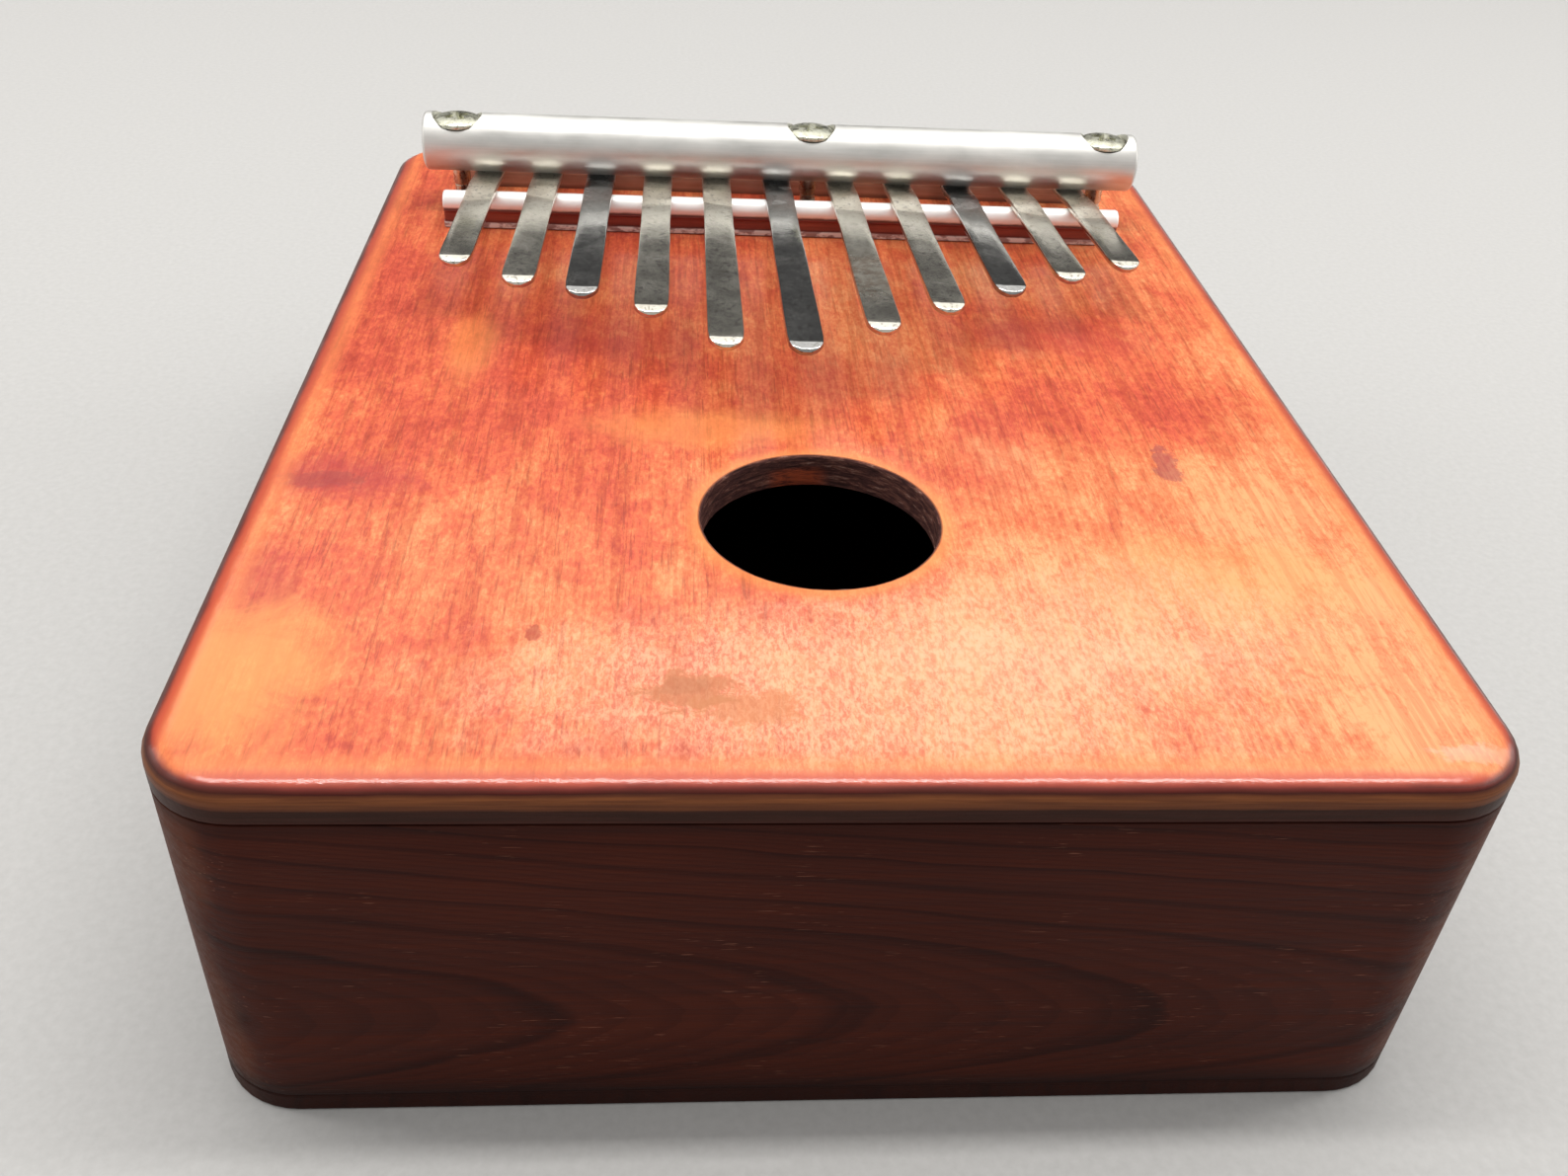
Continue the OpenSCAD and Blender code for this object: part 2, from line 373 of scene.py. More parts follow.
def board_stains(s, colour, ragged, dust_and_glints):
    """Soft clouds in the stain, a painted sheen in glinting specks at the front, then small marks:
    x, y, half width, half length in mm, and depth.
    """
    dark, amber, painted_sheen = (0.40, 0.040, 0.045), (0.86, 0.34, 0.10), (0.88, 0.44, 0.27)
    clouds = ((dark, ((-51.5, -27.7, 9.0, 5.0, 0.60), (-55.0, -48.0, 5.0, 8.0, 0.45),
                      (-24.0, 6.0, 12.0, 7.0, 0.30), (33.0, 9.0, 15.0, 6.0, 0.40),
                      (6.0, -4.0, 14.0, 8.0, 0.20), (20.0, -20.0, 7.0, 12.0, 0.25))),
              (amber, ((-53.5, -60.0, 9.0, 12.0, 0.65), (-12.0, -16.5, 15.0, 5.0, 0.40),
                       (38.0, -45.0, 16.0, 9.0, 0.35), (-41.0, 3.0, 3.5, 11.0, 0.35))),
              (painted_sheen, ((2.0, -62.0, 38.0, 13.0, 0.55), (24.0, -52.0, 26.0, 12.0, 0.35))))
    # Painted sheen and glints: pale specks at the front stand in for the varnish catching the light
    painted_glints = s.window(dust_and_glints, 0.38, 0.64, 0.45, 1.35)
    for tint, places in clouds:
        for x, y, rx, ry, depth in places:
            share = s.spot(x * MM, y * MM, rx * MM, ry * MM, ragged)
            if tint == painted_sheen:
                share = s.times(share, painted_glints)
            colour = s.mix(s.times(share, depth), colour, tint)
    marks = ((-28.5, -54.5, 0.8, 1.3, 0.60, (0.30, 0.035, 0.020)),
             (39.7, -22.8, 1.6, 3.8, 0.62, (0.27, 0.050, 0.060)),
             (-52.5, -28.5, 5.0, 1.7, 0.42, (0.24, 0.040, 0.040)),
             (-14.4, -62.6, 4.4, 3.0, 0.72, (0.44, 0.150, 0.058)),
             (-9.6, -64.8, 5.0, 2.6, 0.66, (0.50, 0.180, 0.070)),
             (-14.6, -61.8, 2.6, 1.2, 0.30, (0.34, 0.120, 0.050)),
             (54.5, -70.5, 4.5, 1.2, 0.40, (0.80, 0.50, 0.38)))
    frayed = s.noise(s.stretch(330, 330, 330, (2, 5, 0)), 5, 0.75, 0.5)
    for x, y, rx, ry, depth, tint in marks:
        share = s.spot(x * MM, y * MM, rx * MM, ry * MM, frayed, 0.70, 1.10, 2.6)
        colour = s.mix(s.times(share, depth), colour, tint)
    return colour


def board_rim(s, colour, near, depth):
    """Paler, then darker towards the rolled rim: thin stain, then thick stain with painted shade
    over the roll. Below it the plies show.
    """
    colour = s.mix(s.window(near, 2.8 * MM, 5.0 * MM, 0.40, 0.0), colour, (0.84, 0.27, 0.09))
    # Painted shade: the roll is painted darker as well as thickly stained
    colour = s.mix(s.window(near, 1.5 * MM, 2.8 * MM, 0.90, 0.0), colour, (0.50, 0.068, 0.034))
    # The upper plies where the rim rolls down are painted darker too: partly their own colour,
    # partly painted shade
    plies = s.ramp(s.math("DIVIDE", depth, BOARD.size.z),
                   ((0.0, (0.42, 0.056, 0.026)), (0.08, (0.22, 0.022, 0.012)),
                    (0.20, (0.040, 0.007, 0.005)), (0.29, (0.18, 0.060, 0.021)),
                    (0.54, (0.13, 0.040, 0.015)), (0.60, (0.028, 0.009, 0.005)),
                    (0.84, (0.030, 0.009, 0.005)), (0.92, (0.040, 0.009, 0.005))))
    ply_grain = s.noise(s.stretch(90, 90, 3600), 3, 0.6)
    plies = s.mix(s.window(ply_grain, 0.4, 0.65, 0.0, 0.45), plies, (0.055, 0.016, 0.010))
    return s.mix(s.window(depth, 0.15 * MM, 0.55 * MM), colour, plies)


def board_hole(s, colour, ragged, depth, fluff):
    """A worn lip round the sound hole, and its bare, fibrous, dark wall, redder at the back."""
    dx, dy = s.less(s.x, HOLE.x), s.less(s.y, HOLE.y)
    radius = s.length(dx, dy)
    lip = s.add(radius, s.around(ragged, 0.5, 1.5 * MM))
    colour = s.mix(s.window(lip, HOLE_R + 0.4 * MM, HOLE_R + 2.6 * MM, 0.55, 0.0), colour,
                   (0.84, 0.30, 0.09))
    bare = s.ramp(fluff, ((0.30, (0.022, 0.010, 0.010)), (0.50, (0.090, 0.036, 0.032)),
                          (0.60, (0.20, 0.080, 0.060)), (0.70, (0.40, 0.27, 0.22))))
    aside = s.math("ABSOLUTE", s.add(dx, 1.5 * MM))
    at_back = s.times(s.window(aside, 1.5 * MM, 4.0 * MM, 1.0, 0.0), s.window(dy, 8 * MM, 10 * MM))
    at_back = s.times(at_back, s.window(fluff, 0.36, 0.58, 0.15, 0.9))
    at_back = s.times(at_back, s.window(depth, 1.2 * MM, 2.0 * MM))
    bare = s.mix(at_back, bare, (0.46, 0.085, 0.032))
    in_hole = s.window(radius, HOLE_R + 0.12 * MM, HOLE_R + 0.42 * MM, 1.0, 0.0)
    return s.mix(in_hole, colour, bare), in_hole


def stained_board():
    """Plywood top: stain, grain, marks, a painted sheen, a rolled and varnished rim darkened partly
    by painted shade, and a bare sound hole.
    """
    s = Shader("stained_plywood", Coat_Roughness=0.14, Coat_IOR=1.5, Specular_IOR_Level=0.10)
    clouds = s.noise(s.stretch(34, 24, 34, (3.1, 1.7, 0)), 4, 0.5, 0.35)
    speckle = s.noise(s.stretch(900, 620, 900), 4, 0.7)
    dust_and_glints = s.noise(s.stretch(2600, 1100, 2600, (1, 2, 0)), 4, 0.7, 0.4)
    grain = s.noise(s.stretch(1150, 60, 1150, (0, 4, 0)), 5, 0.65, 0.25)
    fibre = s.noise(s.stretch(3200, 190, 3200), 3, 0.6)
    ragged = s.noise(s.stretch(150, 150, 150), 5, 0.7, 0.8)
    fluff = s.noise(s.stretch(420, 420, 2400), 5, 0.75, 0.6)

    near = s.math("MINIMUM", s.less(HALF_W, s.math("ABSOLUTE", s.x)),
                  s.less(HALF_L, s.math("ABSOLUTE", s.y)))
    near = s.add(near, s.around(ragged, 0.5, 0.6 * MM))
    ply_noise = s.noise(s.stretch(120, 120, 700), 4)
    depth = s.add(s.less(TOP, s.z), s.around(ply_noise, 0.5, 0.35 * MM))

    colour = stain_colour(s, clouds, speckle, dust_and_glints)
    colour = board_grain(s, colour, clouds, grain, fibre)
    colour = board_stains(s, colour, ragged, dust_and_glints)
    colour = board_rim(s, colour, near, depth)
    colour, in_hole = board_hole(s, colour, ragged, depth, fluff)

    rough = s.window(s.add(clouds, s.times(speckle, 0.4)), 0.4, 1.0, 0.34, 0.50)
    rough = s.math("MAXIMUM", rough, s.times(in_hole, 0.85))
    varnish = s.times(s.window(near, 1.8 * MM, 3.2 * MM, 0.95, 0.38),
                      s.window(depth, 0.35 * MM, 0.75 * MM, 1.0, 0.04))
    s.put(s.surface.inputs["Coat Weight"], s.times(varnish, s.less(1.0, in_hole)))
    skin = s.bump(grain, 0.05 * MM, 0.6)
    skin = s.bump(fibre, 0.02 * MM, 0.5, skin)
    skin = s.bump(s.noise(s.stretch(260, 230, 260), 3), 0.10 * MM, 0.35, skin)
    skin = s.bump(s.times(fluff, in_hole), 0.5 * MM, 0.9, skin)
    film = s.bump(s.noise(s.stretch(210, 170, 210), 4, 0.6), 0.12 * MM, 0.30)
    film = s.bump(speckle, 0.05 * MM, 0.9, film)
    return s.finish(colour, rough, skin, film)


def dark_wood(name, along, seed, first_arch=0.0, lying=False):
    """Mahogany-stained hardwood: nested arches low down that run out into long straight grain."""
    s = Shader(name, Specular_IOR_Level=0.07, Coat_Weight=0.03, Coat_Roughness=0.30)
    if along == "X":
        run, half_run, other, half_other = s.x, HALF_W, s.y, HALF_L
    else:
        run, half_run, other, half_other = s.y, HALF_L, s.x, HALF_W
    rise, arch_height, arch_bow = (other, -8 * MM, 80.0) if lying else (s.z, 13 * MM, 255.0)
    arch_gap, line_gap = 28.5 * MM, 5.3 * MM

    def stretched(far, across, shift):
        scales = (far, across, across) if along == "X" else (across, far, across)
        return s.stretch(*scales, (shift, seed, shift))

    def lines(level, gap, sharp):
        """Growth lines: each darkens slowly, then ends sharply."""
        share = s.math("FRACT", s.math("DIVIDE", level, gap))
        return s.times(s.window(share, sharp, 0.95), s.window(share, 0.95, 1.0, 1.0, 0.0))

    drift = s.noise(stretched(13, 60, seed), 3, 0.5)
    height = s.add(s.less(rise, arch_height + 4 * MM), s.times(drift, 6 * MM))
    bow = s.times(s.times(height, height), arch_bow)
    sway = s.times(s.noise(stretched(30, 160, 2 + seed), 4, 0.55), 7 * MM)
    level = s.add(s.add(bow, sway), s.add(run, 0.2 + first_arch))
    bold = lines(level, arch_gap, 0.72)
    thin = lines(level, line_gap, 0.35)
    fine = s.noise(stretched(42, 1500, 1 + seed), 5, 0.65, 0.2)
    mood = s.noise(stretched(20, 70, 8 + seed), 3, 0.5)
    tone = s.less(s.add(0.30, s.times(fine, 0.50)), s.add(s.times(bold, 0.20), s.times(thin, 0.08)))
    tone = s.add(tone, s.around(mood, 0.5, 0.45))
    colour = s.ramp(tone, ((0.12, (0.014, 0.0030, 0.0018)), (0.36, (0.030, 0.0052, 0.0026)),
                           (0.58, (0.052, 0.0092, 0.0040)), (0.82, (0.086, 0.0165, 0.0066))))
    # Open pores filled with pale dust, in short dashes along the grain
    dashes = s.noise(stretched(330, 5200, 3 + seed), 2, 0.5)
    rare = s.noise(stretched(90, 220, 6 + seed), 2, 0.5)
    flecks = s.times(s.window(dashes, 0.63, 0.72), s.window(rare, 0.46, 0.60))
    colour = s.mix(s.times(flecks, 0.5), colour, (0.25, 0.10, 0.06))
    # Stain rubbed thin along the upright corners, dirt along the seams
    corner = s.add(s.math("DIVIDE", s.math("ABSOLUTE", run), half_run),
                   s.math("DIVIDE", s.math("ABSOLUTE", other), half_other))
    wear_and_painted_highlight = s.add(corner, s.around(mood, 0.5, 0.10))
    colour = s.mix(s.window(wear_and_painted_highlight, 1.898, 1.922, 0.0, 0.34), colour, (0.15, 0.044, 0.017))
    grime = s.add(s.window(s.z, 37.0 * MM, 38.9 * MM, 0.0, 0.45),
                  s.window(s.z, 2.3 * MM, 5.5 * MM, 0.7, 0.0))
    seam_z = span("back_plate").high.z
    seam = s.window(s.math("ABSOLUTE", s.less(s.z, seam_z)), 0.1 * MM, 0.5 * MM, 0.8, 0.0)
    colour = s.mix(s.math("MINIMUM", s.add(grime, seam), 0.80), colour, (0.014, 0.005, 0.004))
    rough = s.window(fine, 0.3, 0.75, 0.42, 0.60)
    skin = s.bump(fine, 0.06 * MM, 0.6)
    skin = s.bump(dashes, 0.05 * MM, 0.35, skin)
    film = s.bump(s.noise(stretched(60, 240, 9 + seed), 3), 0.14 * MM, 0.3)
    return s.finish(colour, rough, skin, film)


def bare_wood():
    """The brace inside: pale planed hardwood."""
    s = Shader("pale_hardwood", Specular_IOR_Level=0.3)
    grain = s.noise(s.stretch(45, 900, 900), 5, 0.65, 0.3)
    rings = s.noise(s.stretch(12, 260, 260), 3, 0.5, 0.4)
    tone = s.add(s.times(grain, 0.6), s.times(rings, 0.4))
    colour = s.ramp(tone, ((0.3, (0.30, 0.16, 0.075)), (0.7, (0.58, 0.38, 0.21))))
    return s.finish(colour, s.window(grain, 0.3, 0.7, 0.55, 0.8), s.bump(grain, 0.08 * MM, 0.7))


def bridge_wood(name, tones, wear_and_painted_highlight=0.0):
    """Bridges: small strips, thick with varnish, in three tones from dark to light.

    The last argument says how strongly a pale painted highlight lies along the bead at the foot.
    """
    s = Shader(name, Coat_Weight=0.5, Coat_Roughness=0.14, Specular_IOR_Level=0.3)
    grain = s.noise(s.stretch(60, 1400, 1400), 5, 0.65, 0.2)
    blots = s.noise(s.stretch(130, 300, 300), 4, 0.6)
    tone = s.add(s.times(grain, 0.55), s.times(blots, 0.45))
    colour = s.ramp(tone, tuple(zip((0.28, 0.52, 0.76), tones)))
    # Painted shade: darker towards the foot, where the strip meets the board
    foot = s.window(s.less(s.z, TOP), 0.1 * MM, 0.9 * MM, 0.55, 0.0)
    colour = s.mix(foot, colour, (0.060, 0.012, 0.009))
    # Painted highlight: a pale dashed line along the bead stands in for its varnish catching the
    # light
    painted_bead_highlight = s.window(s.math("ABSOLUTE", s.less(s.z, TOP + BEAD_R)), 0.6 * BEAD_R, BEAD_R,
                       wear_and_painted_highlight, 0.0)
    patchy = s.window(s.noise(s.stretch(420, 900, 900), 3, 0.6), 0.42, 0.56, 0.25, 1.0)
    colour = s.mix(s.times(painted_bead_highlight, patchy), colour, (0.90, 0.72, 0.66))
    film = s.bump(s.noise(s.stretch(140, 500, 500), 3), 0.2 * MM, 0.5)
    return s.finish(colour, s.window(grain, 0.3, 0.7, 0.3, 0.5), s.bump(grain, 0.06 * MM, 0.6), film)


def aluminium():
    """Pressure bar: satin aluminium with turning lines, smudges and fine dents."""
    s = Shader("aluminium_bar", Metallic=1.0, Anisotropic=0.25)
    lines = s.noise(s.stretch(60, 5200, 5200), 4, 0.7)
    cross = s.noise(s.stretch(4200, 240, 240), 3, 0.6)
    smudge = s.noise(s.stretch(110, 260, 260), 4, 0.6, 0.2)
    film = s.noise(s.stretch(40, 160, 160), 3, 0.5, 0.1)
    tone = s.add(s.times(smudge, 0.7), s.times(lines, 0.3))
    colour = s.ramp(tone, ((0.30, (0.58, 0.575, 0.55)), (0.52, (0.70, 0.695, 0.67)),
                           (0.75, (0.80, 0.795, 0.77))))
    rough = s.add(s.window(smudge, 0.3, 0.75, 0.42, 0.54), s.window(film, 0.5, 0.72, 0.0, 0.10))
    skin = s.bump(lines, 0.012 * MM, 0.6)
    skin = s.bump(cross, 0.010 * MM, 0.35, skin)
    skin = s.bump(film, 0.04 * MM, 0.3, skin)
    return s.finish(colour, rough, skin)


def bright_wire():
    """Front bridge rod: nickel-bright wire, its underside painted dark as shade and dark reflection.
    """
    s = Shader("bright_rod", Metallic=0.35)
    lines = s.noise(s.stretch(90, 4200, 4200), 4, 0.7)
    smudge = s.noise(s.stretch(190, 420, 420), 4, 0.6, 0.5)
    colour = s.ramp(smudge, ((0.30, (0.86, 0.86, 0.85)), (0.65, (0.96, 0.96, 0.95))))
    # Painted shade and dark reflection: the rod's lower half is painted dark brown
    shade_below = s.add(s.less(s.z, span("front_bridge_rod").mid.z), s.around(smudge, 0.5, 0.5 * MM))
    colour = s.mix(s.window(shade_below, -0.75 * MM, -0.30 * MM, 0.92, 0.0), colour, (0.10, 0.022, 0.016))
    rough = s.window(smudge, 0.3, 0.7, 0.36, 0.50)
    return s.finish(colour, rough, s.bump(lines, 0.008 * MM, 0.5))


def zinc():
    """Screws: zinc plate gone slightly green and yellow."""
    s = Shader("zinc_screw", Metallic=1.0)
    bloom = s.noise(s.stretch(900, 900, 900), 5, 0.7, 0.8)
    wipe = s.noise(s.stretch(2600, 700, 2600), 4, 0.6)
    colour = s.ramp(bloom, ((0.28, (0.33, 0.32, 0.25)), (0.50, (0.62, 0.62, 0.50)),
                            (0.70, (0.80, 0.81, 0.70))))
    rough = s.window(bloom, 0.3, 0.7, 0.22, 0.42)
    return s.finish(colour, rough, s.bump(wipe, 0.03 * MM, 0.6))


def steel_rust(s, colour, rough):
    """A rusty patch in the middle of a tine."""
    middle, core, fringe = 9 * MM, 4 * MM, 12 * MM
    here = s.window(s.math("ABSOLUTE", s.less(s.y, middle)), core, fringe, 1.0, 0.0)
    bloom = s.noise(s.stretch(700, 600, 700), 4, 0.7)
    share = s.times(here, s.window(bloom, 0.38, 0.62, 0.10, 0.75))
    return s.mix(share, colour, (0.36, 0.22, 0.13)), s.add(rough, s.times(here, 0.10))


def dark_reflection_end(s, number, tarnish):
    """1 on the free end, from a slanting line just in front of the rod to the tip, where a dark
    reflection is painted.
    """
    tongue = span(f"tine_{number}_tongue")
    slant = s.times(s.less(s.x, tongue.mid.x), 0.5 * math.sin(2.3 * number))
    line_y = tongue.high.y - (6.0 + 1.2 * math.sin(1.9 * number)) * MM
    reach = s.add(s.add(s.less(line_y, s.y), slant), s.times(tarnish, 1.2 * MM))
    return s.window(reach, 0.0, 1.3 * MM)


def spring_steel(number):
    """One tine's steel. Every third tine is newer and blacker, the others are dull."""
    glossy, rusty = number % 3 == 0, number == 7
    seed = 1.7 * number
    s = Shader(f"spring_steel_{number}", Metallic=1.0)
    lines = s.noise(s.stretch(2600, 120, 900, (seed, 0, 0)), 4, 0.7)
    tarnish = s.noise(s.stretch(260, 200, 260, (seed, 1, 0)), 4, 0.55, 0.3)
    pits = s.noise(s.stretch(2300, 2300, 2300, (seed, 2, 0)), 3, 0.6)
    scars = s.noise(s.stretch(1500, 1100, 1500, (seed, 3, 0)), 4, 0.75, 0.5)
    dents = s.noise(s.stretch(160, 130, 160, (seed, 5, 0)), 2)
    tone = s.add(s.times(tarnish, 0.65), s.times(pits, 0.35))
    if glossy:
        colour = s.ramp(tone, ((0.30, (0.30, 0.305, 0.31)), (0.62, (0.46, 0.46, 0.455)),
                               (0.80, (0.58, 0.57, 0.54))))
        rough = s.window(tarnish, 0.35, 0.75, 0.10, 0.24)
    else:
        colour = s.ramp(tone, ((0.30, (0.58, 0.545, 0.455)), (0.50, (0.74, 0.705, 0.61)),
                               (0.70, (0.84, 0.81, 0.72))))
        rough = s.window(tarnish, 0.30, 0.75, 0.17, 0.27)
    if rusty:
        colour, rough = steel_rust(s, colour, rough)
    # The free end is smoother, and painted darker as a painted reflection of the dark surroundings
    reflection_end = dark_reflection_end(s, number, tarnish)
    colour = s.mix(s.times(reflection_end, 0.45 if glossy else 0.28), colour, (0.24, 0.24, 0.225))
    rough = s.times(rough, s.less(1.6, s.times(reflection_end, 0.7)))
    colour = s.mix(s.window(scars, 0.52, 0.66, 0.0, 0.55), colour, (0.14, 0.125, 0.105))
    colour = s.mix(s.window(scars, 0.30, 0.42, 0.40, 0.0), colour, (0.80, 0.78, 0.70))
    skin = s.bump(lines, 0.010 * MM, 0.5)
    skin = s.bump(pits, 0.020 * MM, 0.35, skin)
    skin = s.bump(dents, 0.10 * MM, 0.35, skin)
    return s.finish(colour, rough, skin)


# ---------------------------------------------------------------- box

def build_soundboard():
    """The top: rolled outer edge, gently uneven face, sound hole with a broken edge."""
    hole_break, under_break = 0.35 * MM, 0.25 * MM
    rim_steps, face_steps, lip_steps, wall_steps = 10, 12, 4, 5

    def at_rim(inset):
        return rounded_outline(HALF_W - inset, HALF_L - inset, CORNER_R - inset)

    outer = at_rim(0)
    aim = [math.atan2(v - HOLE.y, u - HOLE.x) for u, v in outer]

    def at_hole(extra, z):
        ring = []
        for a in aim:
            r = HOLE_R + extra + wobble(math.cos(a), math.sin(a), z * 400, 0.35, 0.10 * MM, 5)
            ring.append((HOLE.x + r * math.cos(a), HOLE.y + r * math.sin(a)))
        return ring

    def lifted(points, z):
        return [(u, v, z) for u, v in points]

    bottom = BOARD.low.z
    rings = [lifted(at_rim(under_break), bottom), lifted(outer, bottom + under_break)]
    for k in range(rim_steps + 1):
        turn = math.pi / 2 * k / rim_steps
        rings.append(lifted(at_rim(EDGE_IN * (1 - math.cos(turn))),
                            TOP - EDGE_DOWN * (1 - math.sin(turn))))
    inner_top = at_hole(hole_break, TOP)
    outer_top = at_rim(EDGE_IN)
    for k in range(1, face_steps):
        share = k / face_steps
        ring = []
        for (u0, v0), (u1, v1) in zip(outer_top, inner_top):
            u, v = u0 + (u1 - u0) * share, v0 + (v1 - v0) * share
            sag = -0.05 * MM + wobble(u, v, 0, 0.03, 0.05 * MM, 2)
            ring.append((u, v, TOP + sag * min(1.0, 3 * share, 3 * (1 - share))))
        rings.append(ring)
    for k in range(lip_steps + 1):
        turn = math.pi / 2 * k / lip_steps
        rings.append(lifted(at_hole(hole_break * (1 - math.sin(turn)), TOP),
                            TOP - hole_break * (1 - math.cos(turn))))
    for k in range(1, wall_steps):
        z = TOP - hole_break - (BOARD.size.z - hole_break - under_break) * k / wall_steps
        rings.append(lifted(at_hole(0, z), z))
    rings.append(lifted(at_hole(0, bottom), bottom + under_break))
    rings.append(lifted(at_hole(under_break, bottom), bottom))
    board = loft("soundboard_top", rings, closed=True, angle=50)
    drills = []
    drill_r = 1.4 * MM
    for name in SCREWS:
        mid = span(name).mid
        drills.append(turned("drill", ((drill_r, BOARD.low.z - MM), (drill_r, TOP + MM)),
                             Vector((mid.x, mid.y, 0)), 24))
    return carve(board, drills)


def wall_outline(node, round_corners):
    """Plan of a wall from its CAD box, rounded at the box's own corners."""
    wall = span(node)
    low, high, mid = wall.low, wall.high, wall.mid
    tiny = 0.15 * MM
    corners = ((high.x, high.y, 0), (low.x, high.y, 90), (low.x, low.y, 180), (high.x, low.y, 270))
    points = []
    for cx, cy, turn in corners:
        outside = abs(cy) > HALF_L - MM and abs(cx) > HALF_W - MM
        r = CORNER_R if outside and round_corners else tiny
        sx, sy = (1 if cx > mid.x else -1), (1 if cy > mid.y else -1)
        points += arc(cx - sx * r, cy - sy * r, r, turn, turn + 90, 12 if r > tiny else 3)
    return points


def build_box():
    board = build_soundboard()
    dress(board, stained_board(), nodes=("soundboard",))
    ends = dark_wood("dark_hardwood_ends", "X", 0.0, first_arch=-8.2 * MM)
    sides = dark_wood("dark_hardwood_sides", "Y", 4.3, first_arch=-10 * MM)
    for node, wood in (("front_wall", ends), ("rear_wall", ends),
                       ("left_wall", sides), ("right_wall", sides)):
        low, high = span(node)[:2]
        wall = slab(node + "_board", wall_outline(node, wood is ends), low.z, high.z, 0.12 * MM)
        dress(wall, wood, nodes=(node,))
    low, high = span("back_plate")[:2]
    under = dark_wood("dark_hardwood_back", "Y", 7.7, lying=True)
    plate = slab("back_board", rounded_outline(HALF_W, HALF_L, CORNER_R), low.z, high.z,
                 0.4 * MM, steps=4)
    dress(plate, under, nodes=("back_plate",))
    low, high = span("bridge_brace")[:2]
    brace = slab("inner_brace", [(low.x, low.y), (high.x, low.y), (high.x, high.y), (low.x, high.y)],
                 low.z, high.z, 0.4 * MM)
    dress(brace, bare_wood(), nodes=("bridge_brace",))


# ---------------------------------------------------------------- bridges

def along_x(name, outline, low_x, high_x, soft, uneven, angle=40):
    """A strip along X with the outline (y, z), its ends softened and its faces uneven."""
    n = len(outline)
    cy = sum(p[0] for p in outline) / n
    cz = sum(p[1] for p in outline) / n
    stations = [(low_x, 1), (low_x + 0.3 * soft, 0.35), (low_x + soft, 0)]
    steps = 60
    stations += [(low_x + (high_x - low_x) * k / steps, 0) for k in range(1, steps)]
    stations += [(high_x - soft, 0), (high_x - 0.3 * soft, 0.35), (high_x, 1)]
    rings = []
    for x, inset in stations:
        ring = []
        for y, z in outline:
            far = math.hypot(y - cy, z - cz)
            pull = 1 - inset * soft / far
            ring.append((x, cy + (y - cy) * pull + wobble(x, y, z, 0.012, uneven, 1),
                         cz + (z - cz) * pull))
        rings.append(ring)
    return loft(name, rings, angle=angle)


def build_front_bridge():
    """Strip with a groove for the rod, a front face set back, and a bead along its foot."""
    tones = ((0.110, 0.018, 0.013), (0.240, 0.040, 0.026), (0.380, 0.082, 0.046))
    low, high = span("front_bridge")[:2]
    rod = span("front_bridge_rod")
    rod_r = rod.size.z / 2
    reach = math.sqrt(rod_r ** 2 - (rod.mid.z - high.z) ** 2)
    edge = 0.25 * MM
    face_back = 0.45 * MM             # how far the front face lies behind the bead
    groove_end = math.degrees(math.asin((rod.mid.z - high.z) / rod_r))
    front = min(reach, rod.mid.y - low.y - 0.03 * MM)
    groove_start = math.degrees(math.acos(front / rod_r))
    outline = [(low.y, low.z), (high.y, low.z)]
    outline += arc(high.y - edge, high.z - edge, edge, 0, 90, 4)
    outline += [(rod.mid.y + reach + 0.2 * MM, high.z)]
    outline += arc(rod.mid.y, rod.mid.z, rod_r, -groove_end, groove_start - 180, 16)
    lip_z = rod.mid.z - rod_r * math.sin(math.radians(groove_start)) - 0.1 * MM
    outline += [(low.y, lip_z), (low.y + face_back, lip_z - face_back),
                (low.y + face_back, low.z + 2 * BEAD_R)]
    outline += arc(low.y + BEAD_R, low.z + BEAD_R, BEAD_R, 90, 180, 8)
    strip = along_x("front_strip", outline, low.x, high.x, 0.3 * MM, 0.06 * MM, angle=30)
    dress(strip, bridge_wood("bridge_wood_front", tones, 0.85),
          nodes=("front_bridge",))


def build_front_rod():
    rod = span("front_bridge_rod")
    r, half, cap = rod.size.z / 2, rod.size.x / 2, 0.35 * MM
    end = [(r * 0.5, -half), (r - cap, -half), (r - 0.3 * cap, 0.3 * cap - half), (r, cap - half)]
    profile = end + [(a, -b) for a, b in reversed(end)]
    wire = turned("front_rod", profile, rod.mid, 48, "X", 50)
    dress(wire, bright_wire(), nodes=("front_bridge_rod",))


def build_rear_bridge():
    tones = ((0.440, 0.215, 0.145), (0.620, 0.360, 0.260), (0.740, 0.490, 0.375))
    low, high, size, mid = span("rear_bridge")
    r = size.y / 2
    outline = [(low.y, low.z), (high.y, low.z)] + arc(mid.y, high.z - r, r, 0, 180, 20)
    rear = along_x("rear_strip", outline, low.x, high.x, 0.3 * MM, 0.04 * MM)
    dress(rear, bridge_wood("bridge_wood_rear", tones), nodes=("rear_bridge",))


# ---------------------------------------------------------------- pressure bar and screws

HEAD_RIM = 0.35 * MM
HEAD_CONE = 2.0 * MM
HEAD_DOME = 0.7 * MM
SHANK_R = 1.25 * MM
HEAD_R = 3.4 * MM
COUNTERSINK_GAP = 0.16 * MM
SCREW_SEGMENTS = 40


